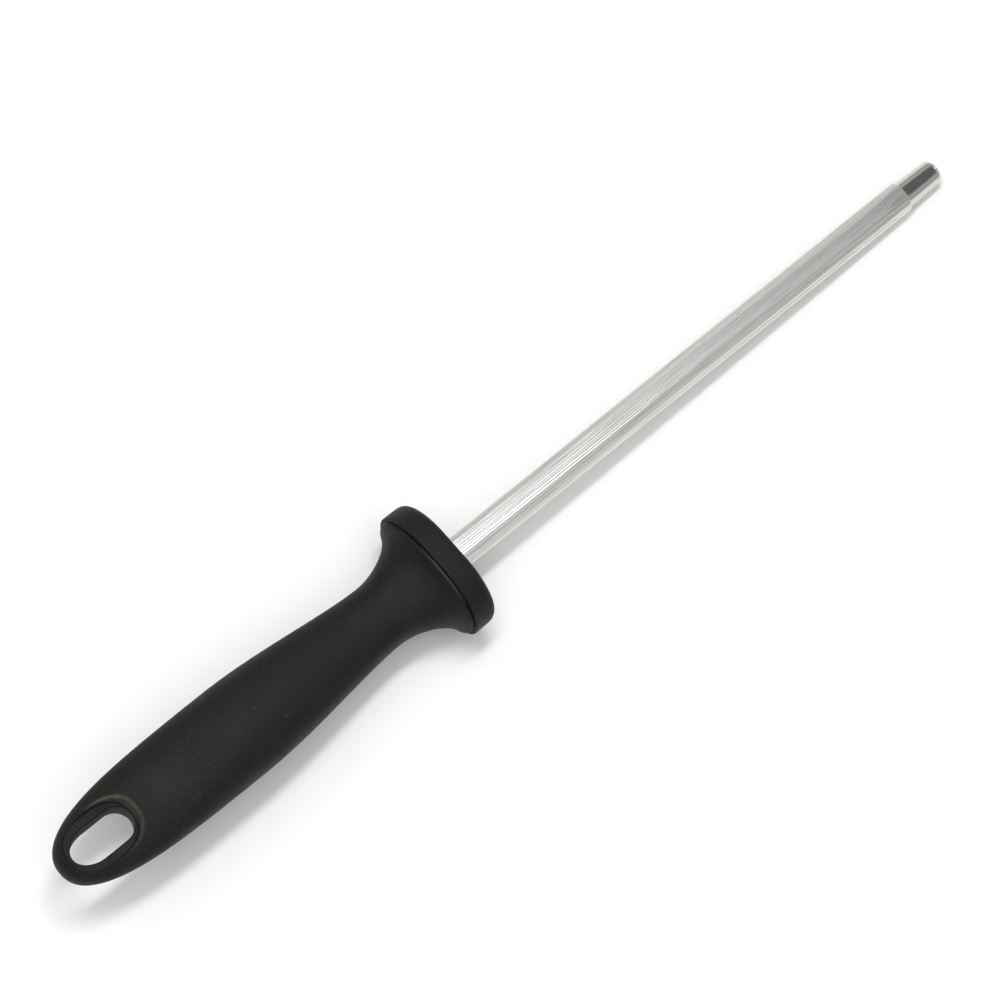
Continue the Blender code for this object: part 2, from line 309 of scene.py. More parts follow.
def leave_edit():
    bpy.ops.mesh.select_all(action="SELECT")
    bpy.ops.mesh.remove_doubles(threshold=MERGE)
    bpy.ops.mesh.normals_make_consistent(inside=False)
    bpy.ops.object.mode_set(mode="OBJECT")


def complete(piece, node, materials, sharp=math.radians(35)):
    """Shades the piece, gives it its finishes and lets it ride in the frame for its CAD node."""
    bpy.ops.object.select_all(action="DESELECT")
    piece.select_set(True)
    bpy.context.view_layer.objects.active = piece
    bpy.ops.object.shade_smooth_by_angle(angle=sharp)
    for finish in materials:
        piece.data.materials.append(finish)
    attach(piece, "root")
    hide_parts(node)


def quarter(steps):
    """(1 - sine, 1 - cosine) round a quarter turn, for a rounded edge."""
    turns = [math.pi / 2 * step / steps for step in range(steps + 1)]
    return [(1 - math.sin(turn), 1 - math.cos(turn)) for turn in turns]


# ---------------------------------------------------------------- the bar

BAR_COLUMNS_PER_RIB = 6
BAR_RINGS = 24
RIB_END_EDGE = 0.12 * MM
TANG_GROOVES = (26 * MM, 17 * MM, 8 * MM)  # from the tang's end to each groove's front
TANG_GROOVE_WIDTH = 4 * MM
TANG_GROOVE_DEPTH = 0.8 * MM
FLATS_LENGTH = 32 * MM


def bar_stations(size):
    """The bar from the nose's end to the tang's end."""
    root = size.diameter / 2 - size.nose_step
    end = root - size.nose_taper
    nose_start = NOSE_END - size.nose_length
    rings = []
    for past, inset in quarter(6):
        reach = end - size.nose_round * past
        rings.append((-NOSE_END + size.nose_round * inset, reach, reach))
    for part in (0.25, 0.5, 0.75, 0.95):
        reach = end + size.nose_taper * part
        behind = -NOSE_END + size.nose_round + (size.nose_length - size.nose_round) * part
        rings.append((behind, reach, reach))
    for past, inset in quarter(4):
        reach = root + size.shoulder_round * inset
        rings.append((-nose_start - size.shoulder_round * past, reach, reach))
    crest = size.diameter / 2
    rings.append((-nose_start, crest - RIB_END_EDGE, crest - RIB_END_EDGE))
    rings.append((-nose_start + RIB_END_EDGE, crest, crest))
    for step in range(1, BAR_RINGS + 1):
        behind = -nose_start + (nose_start + size.seat) * step / BAR_RINGS
        rings.append((behind, crest, crest))
    tang = size.tang / 2
    rings.append((size.seat, tang, tang))
    return rings


def tang_stations(size):
    """The tang behind the guard, with its three grooves."""
    radius = size.tang / 2
    groove = radius - TANG_GROOVE_DEPTH
    rings = [(size.seat, radius, radius)]
    for start in TANG_GROOVES:
        low = TANG_END - start
        high = low + TANG_GROOVE_WIDTH
        rings.extend([(low, radius, radius), (low, groove, groove)])
        rings.extend([(high, groove, groove), (high, radius, radius)])
    rings.append((TANG_END, radius, radius))
    return rings


class STEEL_OT_bar(bpy.types.Operator):
    """Shape the steel bar: nose, ribbed length and tang"""

    bl_idname = "steel.make_bar"
    bl_label = "Bar"

    def execute(self, context):
        size = context.scene.steel_bar
        columns = size.ribs * BAR_COLUMNS_PER_RIB
        rings = bar_stations(size)
        bar = start_ring("steel_bar", columns, rings[0])
        extend(rings)
        extend(tang_stations(size))
        self.cut_ribs(size)
        self.cut_flats(size)
        leave_edit()
        complete(bar, "sharpening_rod", [ribbed_steel(), polished_steel()])
        self.polish_nose(bar, size)
        return {"FINISHED"}

    def cut_ribs(self, size):
        """Draws the columns between the ribs inwards, each groove with a depth of its own."""
        crest = size.diameter / 2
        ribbed_from = NOSE_END - size.nose_length - MERGE
        for groove in range(size.ribs):
            depth = size.rib_depth * (0.78 + 0.4 * (groove * 0.618 % 1))
            for offset, part in ((0, 1.0), (1, 0.55), (5, 0.5)):
                column_wanted = groove * BAR_COLUMNS_PER_RIB + offset
                pick(
                    lambda place, column: column == column_wanted
                    and FRONT_X - size.seat - MERGE < place.x < FRONT_X + ribbed_from
                    and math.hypot(place.y, place.z - AXIS_Z) > crest - 0.26 * MM
                )
                factor = 1 - depth * part / crest
                bpy.ops.transform.resize(value=(1, factor, factor), center_override=at(0))

    def cut_flats(self, size):
        """Presses the tang flat above and below."""
        for side in (1, -1):
            level = AXIS_Z + side * size.flats / 2
            pick(
                lambda place, column: place.x < FRONT_X - TANG_END + FLATS_LENGTH
                and side * (place.z - level) > 0
            )
            bpy.ops.transform.resize(value=(1, 1, 0), center_override=(0, 0, level))

    def polish_nose(self, bar, size):
        """Gives the faces of the nose the polished finish."""
        for face in bar.data.polygons:
            if face.center.x > FRONT_X + NOSE_END - size.nose_length:
                face.material_index = 1


# ---------------------------------------------------------------- the guard

GUARD_COLUMNS = 48
GUARD_POWER = 2.2
GUARD_SUPPORT = 0.35 * MM  # how near its corners the plate's supports lie


def guard_stations(size):
    """A closed chain of rings: boss, rear of the plate, rim, front, and the bore for the bar."""
    bar = bpy.context.scene.steel_bar
    boss = size.boss / 2
    tang_bore = bar.tang / 2 + size.gap
    seat_bore = bar.diameter / 2 + size.gap
    shoulder = bar.seat + size.gap
    half_width = size.width / 2
    half_height = size.height / 2 + size.crown
    rings = [(BOSS_END, tang_bore, tang_bore), (BOSS_END, boss, boss), (size.thickness, boss, boss)]
    middle = (half_width + boss) / 2
    rings.append((size.thickness, middle, (half_height + boss) / 2))
    for past, inset in quarter(3):
        less = size.rear_round * past
        rings.append((size.thickness - size.rear_round * inset, half_width - less, half_height - less))
    for past, inset in quarter(4):
        less = size.front_round * inset + size.draft
        rings.append((size.front_round * past, half_width - less, half_height - less))
    rings.append((0, middle, (half_height + boss) / 2))
    rings.extend([(0, seat_bore, seat_bore), (shoulder, seat_bore, seat_bore)])
    rings.extend([(shoulder, tang_bore, tang_bore), (BOSS_END, tang_bore, tang_bore)])
    return tightened(rings, GUARD_SUPPORT, math.radians(80))


class STEEL_OT_guard(bpy.types.Operator):
    """Shape the oval guard with its rounded rim, boss and bore"""

    bl_idname = "steel.make_guard"
    bl_label = "Guard"

    def execute(self, context):
        size = context.scene.steel_guard
        rings = guard_stations(size)
        guard = start_ring("oval_guard", GUARD_COLUMNS, rings[0], filled=False)
        extend(rings)
        rim = size.boss / 2 + 1 * MM
        square_up(
            GUARD_COLUMNS,
            GUARD_POWER,
            lambda place: math.hypot(place.y, place.z - AXIS_Z) > rim,
        )
        self.press_flats(size, rings)
        leave_edit()
        subdivide(guard, 2)
        complete(guard, "guard", [black_plastic()])
        return {"FINISHED"}

    def press_flats(self, size, rings):
        """Presses the top and the underside of each ring of the rim flat."""
        outer = [ring for ring in rings if ring[2] > size.height / 2 - 2 * size.front_round]
        for behind, _, half_height in outer:
            for side in (1, -1):
                level = AXIS_Z + side * (half_height - size.crown)
                pick(
                    lambda place, column: abs(place.x - (FRONT_X - behind)) < 0.005 * MM
                    and side * (place.z - level) > 0
                )
                bpy.ops.transform.resize(value=(1, 1, 0), center_override=(0, 0, level))


# ---------------------------------------------------------------- the grip

GRIP_COLUMNS = 64
SECTION_POWER = 2.3
FLARE_POWER = 1.73
TAPER_POWER = 4
TAIL_POWER = 2.3
SWELL_BIAS = 0.86
TAPER_RINGS = 30
SWELL_RINGS = 20
FLARE_RINGS = 18
FLANGE_SHOULDER = ((1.10, 0.71), (0.75, 0.21), (0.33, 0.0))  # (behind, inset) in flange thicknesses
FRONT_EDGE = 0.2 * MM
ROOM_GAP = 0.3 * MM  # behind the boss and behind the core
GRIP_SUPPORT = 0.15 * MM
TAIL_START = math.radians(88.6)
TAIL_SPACING = 1.5


def smooth(part):
    return part * part * (3 - 2 * part)


def mix(start, end, part):
    return start + (end - start) * part


def flare_station(size, part):
    """From the flange (0) to the neck (1), on a hollow curve."""
    rear = GRIP_FRONT + size.flange
    drop = (1 - (1 - part) ** FLARE_POWER) ** (1 / FLARE_POWER)
    return (
        mix(rear, size.neck_behind, part),
        mix(size.flange_width, size.neck_width, drop) / 2,
        mix(size.flange_height, size.neck_height, drop) / 2,
    )


def swell_station(size, part):
    """From the neck (0) to the belly (1)."""
    rise = smooth(part**SWELL_BIAS)
    return (
        mix(size.neck_behind, TAIL_END - size.belly_to_end, part),
        mix(size.neck_width, size.belly_width, rise) / 2,
        mix(size.neck_height, size.belly_height, rise) / 2,
    )


def taper_station(size, part):
    """From the belly (0) to the rounded tail (1)."""
    behind = TAIL_END - size.belly_to_end * (1 - part)
    into_round = max(0.0, behind - (TAIL_END - size.tail_round)) / size.tail_round
    half_height = mix(size.belly_height, size.tail_height, smooth(part)) / 2
    return (
        behind,
        size.belly_width / 2 * (1 - part**TAPER_POWER) ** (1 / TAIL_POWER),
        half_height * math.sqrt(1 - into_round**2),
    )


def grip_stations(size):
    """The grip from the tail's end to the flange, then back inside round the boss and the core."""
    rings = []
    for step in range(TAPER_RINGS):
        turn = TAIL_START * (1 - (step / TAPER_RINGS) ** TAIL_SPACING)
        rings.append(taper_station(size, math.sin(turn)))
    for step in range(SWELL_RINGS, 0, -1):
        rings.append(swell_station(size, step / SWELL_RINGS))
    for step in range(FLARE_RINGS, 2, -1):
        rings.append(flare_station(size, 1 - math.cos(math.pi / 2 * step / FLARE_RINGS)))
    wide = size.flange_width / 2
    high = size.flange_height / 2
    socket = size.socket / 2
    front = size.room_front / 2
    rear = size.room_rear / 2
    for behind, inset in FLANGE_SHOULDER:
        inset *= size.flange
        rings.append((GRIP_FRONT + size.flange * behind, wide - inset, high - inset))
    face = bpy.context.scene.steel_guard.thickness + size.seam
    for past, inset in reversed(quarter(2)):
        rings.append((face + FRONT_EDGE * past, wide - FRONT_EDGE * inset, high - FRONT_EDGE * inset))
    rings.append((face, (wide + socket) / 2, (high + socket) / 2))
    rings.append((face, socket, socket))
    rings.append((BOSS_END + ROOM_GAP, socket, socket))
    rings.append((BOSS_END + ROOM_GAP, front, front))
    rings.append((size.neck_behind, front, front))
    rings.append((mix(size.neck_behind, CORE_END, 0.5), rear, rear))
    rings.append((CORE_END + ROOM_GAP, rear, rear))
    return tightened(rings, GRIP_SUPPORT, math.radians(60))


class STEEL_OT_grip(bpy.types.Operator):
    """Shape the moulded grip, with the recessed eye through its tail"""

    bl_idname = "steel.make_grip"
    bl_label = "Grip"

    def execute(self, context):
        size = context.scene.steel_grip
        rings = grip_stations(size)
        grip = start_ring("moulded_grip", GRIP_COLUMNS, rings[0])
        square_up(GRIP_COLUMNS, SECTION_POWER, lambda place: True)
        bpy.ops.mesh.select_all(action="SELECT")
        extend(rings)
        leave_edit()
        subdivide(grip, 1)
        self.cut_eye(grip, context.scene.steel_eye)
        self.split_faces(grip)
        complete(grip, "grip", [black_plastic()])
        return {"FINISHED"}

    def cut_eye(self, grip, eye):
        cutters = [recess_cutter(eye, 1), recess_cutter(eye, -1), eye_cutter(eye)]
        for cutter in cutters:
            apply_modifier(grip, "BOOLEAN", operation="DIFFERENCE", solver="EXACT", object=cutter)
            bpy.data.objects.remove(cutter)

    def split_faces(self, grip):
        """Splits the faces into triangles, so that none is left folded where the cuts passed."""
        bpy.ops.object.select_all(action="DESELECT")
        grip.select_set(True)
        bpy.context.view_layer.objects.active = grip
        bpy.ops.object.mode_set(mode="EDIT")
        bpy.ops.mesh.select_all(action="SELECT")
        bpy.ops.mesh.quads_convert_to_tris(quad_method="BEAUTY", ngon_method="BEAUTY")
        leave_edit()


EYE_COLUMNS = 96
RECESS_COLUMNS = 128
RECESS_POWER = 2.4
RECESS_EDGE = 0.4 * MM  # rounding between the recess's floor and its wall
RECESS_CUTTER_TOP = 12 * MM
EYE_CUTTER_REACH = 6 * MM


def recess_outline(eye):
    """How far behind the guard's front the recess's middle lies, with its half length and half width."""
    middle = TAIL_END - eye.end_wall - eye.length / 2 - (eye.body_margin - eye.tail_margin) / 2
    half_length = (eye.length + eye.body_margin + eye.tail_margin) / 2
    return middle, half_length, eye.width / 2 + eye.side_margin


def start_outline(name, columns, middle, half_width, height):
    """A level filled circle, in edit mode and all selected. Each vertex keeps the number of its column."""
    bpy.ops.object.select_all(action="DESELECT")
    bpy.ops.mesh.primitive_circle_add(
        vertices=columns, radius=half_width, fill_type="NGON", location=at(middle, 0, height)
    )
    piece = bpy.context.object
    piece.name = name
    bpy.ops.object.transform_apply(location=True, rotation=True, scale=True)
    bpy.ops.object.mode_set(mode="EDIT")
    number_columns(columns, at(middle))
    return piece


def rise_through(levels, middle):
    """Extrudes the selected outline up through levels (height, half length, half width)."""
    for (height, long, wide), (next_height, next_long, next_wide) in zip(levels, levels[1:]):
        bpy.ops.mesh.extrude_region_move(TRANSFORM_OT_translate={"value": (0, 0, next_height - height)})
        bpy.ops.transform.resize(
            value=(next_long / long, next_wide / wide, 1), center_override=at(middle, 0, next_height)
        )


def eye_cutter(eye):
    """The slot through the tail. It widens in a round just below each recess floor."""
    middle = TAIL_END - eye.end_wall - eye.length / 2
    floor = eye.thickness / 2
    long = eye.length / 2 + eye.rim_round
    levels = [(-floor - EYE_CUTTER_REACH, long, eye.width / 2 + eye.rim_round)]
    for past, inset in quarter(5):
        levels.append(
            (
                -floor + eye.rim_round * inset - 0.01 * MM,
                eye.length / 2 + eye.rim_round * past,
                eye.width / 2 + eye.rim_round * past,
            )
        )
    levels += [(-height, long, wide) for height, long, wide in reversed(levels)]
    height, half_length, half_width = levels[0]
    cutter = start_outline("eye_cutter", EYE_COLUMNS, middle, half_width, height)
    for side, reach in ((1, half_width), (-1, eye.tail_reach)):
        pick(lambda place, column: side * (place.x - at(middle).x) > 0.001 * MM)
        bpy.ops.transform.resize(value=(reach / half_width, 1, 1), center_override=at(middle))
        bpy.ops.transform.translate(value=(side * (half_length - reach), 0, 0))
    bpy.ops.mesh.select_all(action="SELECT")
    rise_through(levels, middle)
    leave_edit()
    return cutter


def recess_cutter(eye, side):
    """The recess round the eye on one side of the tail, with a level floor and leaning walls."""
    middle, half_length, half_width = recess_outline(eye)
    floor = side * eye.thickness / 2
    long = half_length - RECESS_EDGE
    wide = half_width - RECESS_EDGE
    cutter = start_outline("recess_cutter", RECESS_COLUMNS, middle, wide, floor)
    square_up(RECESS_COLUMNS, RECESS_POWER, lambda place: True, at(middle, 0, floor))
    bpy.ops.mesh.select_all(action="SELECT")
    bpy.ops.transform.resize(value=(long / wide, 1, 1), center_override=at(middle, 0, floor))
    rims = [(floor, long, wide)]
    for past, inset in quarter(3)[1:]:
        height = floor + side * RECESS_EDGE * inset
        rims.append((height, half_length - RECESS_EDGE * past, half_width - RECESS_EDGE * past))
    rims.append((side * RECESS_CUTTER_TOP, half_length + eye.slope, half_width + eye.slope))
    rise_through(rims, middle)
    leave_edit()
    return cutter


class STEEL_OT_core(bpy.types.Operator):
    """Finish the core that holds the tang inside the grip"""

    bl_idname = "steel.finish_core"
    bl_label = "Core"

    def execute(self, context):
        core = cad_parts["tang_core"]
        core.data.materials.clear()
        core.data.materials.append(core_plastic())
        return {"FINISHED"}


# ---------------------------------------------------------------- finishes


def add(tree, kind, inputs=None, **settings):
    """A node with its settings, and with its inputs set to values or linked to sockets."""
    node = tree.nodes.new(kind)
    for name, value in settings.items():
        setattr(node, name, value)
    for name, value in (inputs or {}).items():
        if isinstance(value, bpy.types.NodeSocket):
            tree.links.new(value, node.inputs[name])
        else:
            node.inputs[name].default_value = value
    return node


def math_node(tree, operation, first, second=0.0):
    return add(tree, "ShaderNodeMath", {0: first, 1: second}, operation=operation).outputs[0]


def remap(tree, value, low, high, to_low=0.0, to_high=1.0):
    inputs = {"Value": value, "From Min": low, "From Max": high, "To Min": to_low, "To Max": to_high}
    return add(tree, "ShaderNodeMapRange", inputs, clamp=True).outputs["Result"]


def blend_colours(tree, part, first, second):
    node = add(tree, "ShaderNodeMix", data_type="RGBA")
    for index, value in ((0, part), (6, first), (7, second)):
        if isinstance(value, bpy.types.NodeSocket):
            tree.links.new(value, node.inputs[index])
        else:
            node.inputs[index].default_value = value if index == 0 else (*value, 1)
    return node.outputs[2]


def noise(tree, vector, scale, detail=2.0, roughness=0.5):
    inputs = {"Vector": vector, "Scale": scale, "Detail": detail, "Roughness": roughness}
    return add(tree, "ShaderNodeTexNoise", inputs).outputs["Fac"]


def effect_group(name, inputs, outputs):
    """A new node group with its input and output nodes, or the group and two Nones if it exists."""
    built = bpy.data.node_groups.get(name)
    if built:
        return built, None, None
    group = bpy.data.node_groups.new(name, "ShaderNodeTree")
    for label, kind, value in inputs:
        socket = group.interface.new_socket(label, in_out="INPUT", socket_type=kind)
        if value is not None:
            socket.default_value = value
    for label in outputs:
        group.interface.new_socket(label, in_out="OUTPUT", socket_type="NodeSocketFloat")
    return group, group.nodes.new("NodeGroupInput"), group.nodes.new("NodeGroupOutput")


def moulded_grain():
    """Spark-eroded grain: a height for the bump, and a mask of the glints on its peaks."""
    group, given, out = effect_group(
        "moulded_grain",
        [("Vector", "NodeSocketVector", None), ("Scale", "NodeSocketFloat", 1.0)],
        ["Height", "Glints", "Clouds"],
    )
    if given:
        vector = add(
            group, "ShaderNodeVectorMath", {0: given.outputs["Vector"]}, operation="SCALE"
        )
        group.links.new(given.outputs["Scale"], vector.inputs["Scale"])
        place = vector.outputs[0]
        coarse = noise(group, place, 1500, 3, 0.6)
        fine = noise(group, place, 4200, 2, 0.5)
        height = math_node(group, "ADD", coarse, math_node(group, "MULTIPLY", fine, 0.6))
        group.links.new(height, out.inputs["Height"])
        group.links.new(remap(group, coarse, 0.56, 0.78), out.inputs["Glints"])
        group.links.new(remap(group, noise(group, place, 70, 3, 0.6), 0.35, 0.65), out.inputs["Clouds"])
    return group


def rubbed_marks():
    """Small scuffs from handling, as a mask."""
    group, given, out = effect_group(
        "rubbed_marks",
        [("Vector", "NodeSocketVector", None), ("Amount", "NodeSocketFloat", 0.5)],
        ["Mask"],
    )
    if given:
        stretched = add(
            group, "ShaderNodeMapping", {"Vector": given.outputs["Vector"], "Scale": (120, 700, 700)}
        ).outputs[0]
        marks = remap(group, noise(group, stretched, 1.0, 4, 0.65), 0.64, 0.74)
        patches = remap(group, noise(group, given.outputs["Vector"], 55, 2, 0.5), 0.5, 0.62)
        marks = math_node(group, "MULTIPLY", marks, patches)
        group.links.new(math_node(group, "MULTIPLY", marks, given.outputs["Amount"]), out.inputs["Mask"])
    return group


def painted_edge_highlights():
    """Painted highlights, as masks: the lit flange edge beside the guard, and the lit ledge in front of the
    eye, lighter towards +y.
    """
    group, given, out = effect_group(
        "painted_edge_highlights",
        [
            ("Vector", "NodeSocketVector", None),
            ("Seam Place", "NodeSocketFloat", 0.0),
            ("Eye Place", "NodeSocketFloat", 0.0),
            ("Half Length", "NodeSocketFloat", 0.01),
            ("Half Width", "NodeSocketFloat", 0.01),
        ],
        ["Seam", "Ledge"],
    )
    if given:
        split = add(group, "ShaderNodeSeparateXYZ", {0: given.outputs["Vector"]})
        x, y = split.outputs["X"], split.outputs["Y"]
        # Painted highlight along the flange edge beside the guard, on one side only.
        off = math_node(group, "ABSOLUTE", math_node(group, "SUBTRACT", x, given.outputs["Seam Place"]))
        band = remap(group, off, 0.12 * MM, 0.30 * MM, 1, 0)
        from_middle = math_node(group, "ABSOLUTE", math_node(group, "ADD", y, 5 * MM))
        side = remap(group, from_middle, 4 * MM, 11 * MM, 1, 0)
        group.links.new(math_node(group, "MULTIPLY", band, side), out.inputs["Seam"])
        # Painted highlight on the ledge in front of the eye, lighter towards the +y side.
        ahead = math_node(group, "SUBTRACT", x, given.outputs["Eye Place"])
        long = math_node(group, "DIVIDE", math_node(group, "ABSOLUTE", ahead), given.outputs["Half Length"])
        wide = math_node(group, "DIVIDE", math_node(group, "ABSOLUTE", y), given.outputs["Half Width"])
        total = math_node(
            group,
            "ADD",
            math_node(group, "POWER", long, RECESS_POWER),
            math_node(group, "POWER", wide, RECESS_POWER),
        )
        reach = math_node(group, "POWER", total, 1 / RECESS_POWER)
        ledge = math_node(
            group, "MULTIPLY", remap(group, reach, 0.99, 1.03), remap(group, reach, 1.10, 1.18, 1, 0)
        )
        front = remap(group, ahead, 1 * MM, 7 * MM)
        lit_side = remap(group, y, -6 * MM, 6 * MM, 0.35, 1.0)
        patchy = remap(group, noise(group, given.outputs["Vector"], 420, 3, 0.6), 0.35, 0.6, 0.45, 1.0)
        for factor in (front, lit_side, patchy):
            ledge = math_node(group, "MULTIPLY", ledge, factor)
        group.links.new(ledge, out.inputs["Ledge"])
    return group


def drawn_lines():
    """Masks of the bar's finish: fine lines, wide streaks and thin scratches along it, and pits."""
    group, given, out = effect_group(
        "drawn_lines",
        [("Vector", "NodeSocketVector", None), ("Axis Height", "NodeSocketFloat", 0.0)],
        ["Lines", "Streaks", "Scratches", "Pits"],
    )
    if given:
        split = add(group, "ShaderNodeSeparateXYZ", {0: given.outputs["Vector"]})
        rise = math_node(group, "SUBTRACT", split.outputs["Z"], given.outputs["Axis Height"])
        turn = math_node(group, "ARCTAN2", split.outputs["Y"], rise)
        along = math_node(group, "MULTIPLY", split.outputs["X"], 4.0)
        fine_turn = math_node(group, "MULTIPLY", turn, 13.0)
        fine = add(group, "ShaderNodeCombineXYZ", {"X": along, "Y": fine_turn})
        wide_turn = math_node(group, "MULTIPLY", turn, 5.0)
        wide = add(group, "ShaderNodeCombineXYZ", {"X": along, "Y": wide_turn})
        group.links.new(noise(group, fine.outputs[0], 1.0, 4, 0.62), out.inputs["Lines"])
        group.links.new(noise(group, wide.outputs[0], 1.0, 3, 0.55), out.inputs["Streaks"])
        thin_along = math_node(group, "MULTIPLY", split.outputs["X"], 35.0)
        thin_turn = math_node(group, "MULTIPLY", turn, 15.0)
        thin = add(group, "ShaderNodeCombineXYZ", {"X": thin_along, "Y": thin_turn})
        scratches = remap(group, noise(group, thin.outputs[0], 1.0, 1, 0.5), 0.63, 0.70)
        group.links.new(scratches, out.inputs["Scratches"])
        pits = remap(group, noise(group, given.outputs["Vector"], 900, 2, 0.5), 0.70, 0.76)
        group.links.new(pits, out.inputs["Pits"])
    return group


def place_group(tree, group, inputs):
    node = tree.nodes.new("ShaderNodeGroup")
    node.node_tree = group
    for name, value in inputs.items():
        if isinstance(value, bpy.types.NodeSocket):
            tree.links.new(value, node.inputs[name])
        else:
            node.inputs[name].default_value = value
    return node


def new_material(name):
    """A material with its shader, and the object's own coordinates."""
    made = bpy.data.materials.new(name)
    made.use_nodes = True
    tree = made.node_tree
    shader = tree.nodes["Principled BSDF"]
    place = tree.nodes.new("ShaderNodeTexCoord").outputs["Object"]
    return made, tree, shader, place


def drive(tree, shader, name, value):
    tree.links.new(value, shader.inputs[name])


def bump(tree, shader, height, strength, distance):
    node = add(tree, "ShaderNodeBump", {"Height": height, "Strength": strength, "Distance": distance})
    drive(tree, shader, "Normal", node.outputs["Normal"])


def black_plastic():
    """Near-black moulded plastic: fine grain, a satin sheen, marks from handling, and painted highlights on
    the grain's peaks, the flange edge and the ledge in front of the eye.
    """
    found = bpy.data.materials.get("black_plastic_moulded")
    if found:
        return found
    finish = bpy.context.scene.steel_finish
    made, tree, shader, place = new_material("black_plastic_moulded")
    grain = place_group(tree, moulded_grain(), {"Vector": place, "Scale": 1.0})
    marks = place_group(tree, rubbed_marks(), {"Vector": place, "Amount": 0.5})
    lighter = tuple(min(1.0, part * 1.7) for part in finish.plastic)
    clouded = blend_colours(tree, grain.outputs["Clouds"], tuple(finish.plastic), lighter)
    guard = bpy.context.scene.steel_guard
    middle, half_length, half_width = recess_outline(bpy.context.scene.steel_eye)
    edges = place_group(
        tree,
        painted_edge_highlights(),
        {
            "Vector": place,
            "Seam Place": at(guard.thickness + 0.3 * MM).x,
            "Eye Place": at(middle).x,
            "Half Length": half_length,
            "Half Width": half_width,
        },
    )
    # Painted highlights (the lit flange edge and ledge, and glints on the grain's peaks) take the lighter
    # colour together with the real scuffs.
    highlighted = math_node(tree, "MAXIMUM", edges.outputs["Seam"], edges.outputs["Ledge"])
    patches = remap(tree, noise(tree, place, 45, 3, 0.55), 0.42, 0.62, 0.25, 1.0)
    glints = math_node(tree, "MULTIPLY", grain.outputs["Glints"], math_node(tree, "MULTIPLY", patches, 0.4))
    scuffs_and_painted_highlights = math_node(tree, "MAXIMUM", marks.outputs["Mask"], glints)
    scuffs_and_painted_highlights = math_node(tree, "MAXIMUM", scuffs_and_painted_highlights, highlighted)
    drive(tree, shader, "Base Color", blend_colours(tree, scuffs_and_painted_highlights, clouded, tuple(finish.plastic_scuffed_and_lit)))
    rough = 1 - finish.plastic_gloss
    dull = remap(tree, grain.outputs["Clouds"], 0, 1, rough - 0.05, rough + 0.08)
    drive(tree, shader, "Roughness", dull)
    shader.inputs["Specular IOR Level"].default_value = 0.2
    bump(tree, shader, grain.outputs["Height"], 0.75, 0.16 * MM)
    return made


def core_plastic():
    """Plain grey moulded plastic, with flow marks."""
    made, tree, shader, place = new_material("core_plastic_moulded")
    grain = place_group(tree, moulded_grain(), {"Vector": place, "Scale": 0.7})
    tinted = blend_colours(tree, grain.outputs["Clouds"], (0.10, 0.10, 0.10), (0.15, 0.15, 0.148))
    drive(tree, shader, "Base Color", tinted)
    drive(tree, shader, "Roughness", remap(tree, grain.outputs["Clouds"], 0, 1, 0.5, 0.65))
    bump(tree, shader, grain.outputs["Height"], 0.3, 0.1 * MM)
    return made


def ribbed_steel():
    """Chromed steel with fine drawn lines, darker streaks and small pits."""
    finish = bpy.context.scene.steel_finish
    made, tree, shader, place = new_material("chromed_steel_ribbed")
    lines = place_group(tree, drawn_lines(), {"Vector": place, "Axis Height": AXIS_Z})
    dark = remap(tree, lines.outputs["Lines"], 0.60, 0.40)
    dark = math_node(tree, "MULTIPLY", dark, remap(tree, lines.outputs["Streaks"], 0.40, 0.62, 0.35, 0.95))
    dark = math_node(tree, "MAXIMUM", dark, lines.outputs["Scratches"])
    dark = math_node(tree, "MAXIMUM", dark, math_node(tree, "MULTIPLY", lines.outputs["Pits"], 0.9))
    tinted = blend_colours(tree, dark, tuple(finish.steel), tuple(finish.steel_dark))
    drive(tree, shader, "Base Color", tinted)
    shader.inputs["Metallic"].default_value = 1.0
    drive(tree, shader, "Roughness", remap(tree, lines.outputs["Streaks"], 0.3, 0.7, 0.27, 0.35))
    bump(tree, shader, lines.outputs["Lines"], 0.5, 0.06 * MM)
    return made


def polished_steel():
    """Mirror-bright steel with a trace of polishing marks."""
    finish = bpy.context.scene.steel_finish
    made, tree, shader, place = new_material("chromed_steel_polished")
    lines = place_group(tree, drawn_lines(), {"Vector": place, "Axis Height": AXIS_Z})
    dull = tuple(part * 0.8 for part in finish.polished)
    marks = remap(tree, lines.outputs["Lines"], 0.6, 0.3)
    drive(tree, shader, "Base Color", blend_colours(tree, marks, tuple(finish.polished), dull))
    shader.inputs["Metallic"].default_value = 1.0
    drive(tree, shader, "Roughness", remap(tree, lines.outputs["Streaks"], 0.3, 0.7, 0.05, 0.10))
    bump(tree, shader, lines.outputs["Lines"], 0.06, 0.02 * MM)
    return made


def floor_paper(colour_wanted):
    """Pale matt paper with a faint mottle."""
    made, tree, shader, place = new_material("stage_paper")
    darker = tuple(part * 0.985 for part in colour_wanted)
    mottle = noise(tree, place, 8, 2, 0.5)
    drive(tree, shader, "Base Color", blend_colours(tree, mottle, darker, tuple(colour_wanted)))
    shader.inputs["Roughness"].default_value = 0.9
    shader.inputs["Specular IOR Level"].default_value = 0.1
    return made


# ---------------------------------------------------------------- the stage

CEILING_EDGE = (0.60, 0.72)  # how steep a look up has to be to leave the walls and reach the ceiling
FLOOR_SIZE = 6
STRIP_PLACE = Vector((0, 0.25, 1.5))
STRIP_SIZE = (0.8, 0.18)
PANEL_PLACE = Vector((-0.33, -0.1, 1.52))
PANEL_SIZE = (1.56, 3.2)
CARD_FROM_NOSE = Vector((1.0, 0.05, 0.6))
CARD_SIZE = (0.16, 0.16)
CAMERA_AIM = at(-23.93 * MM, 4.33 * MM)


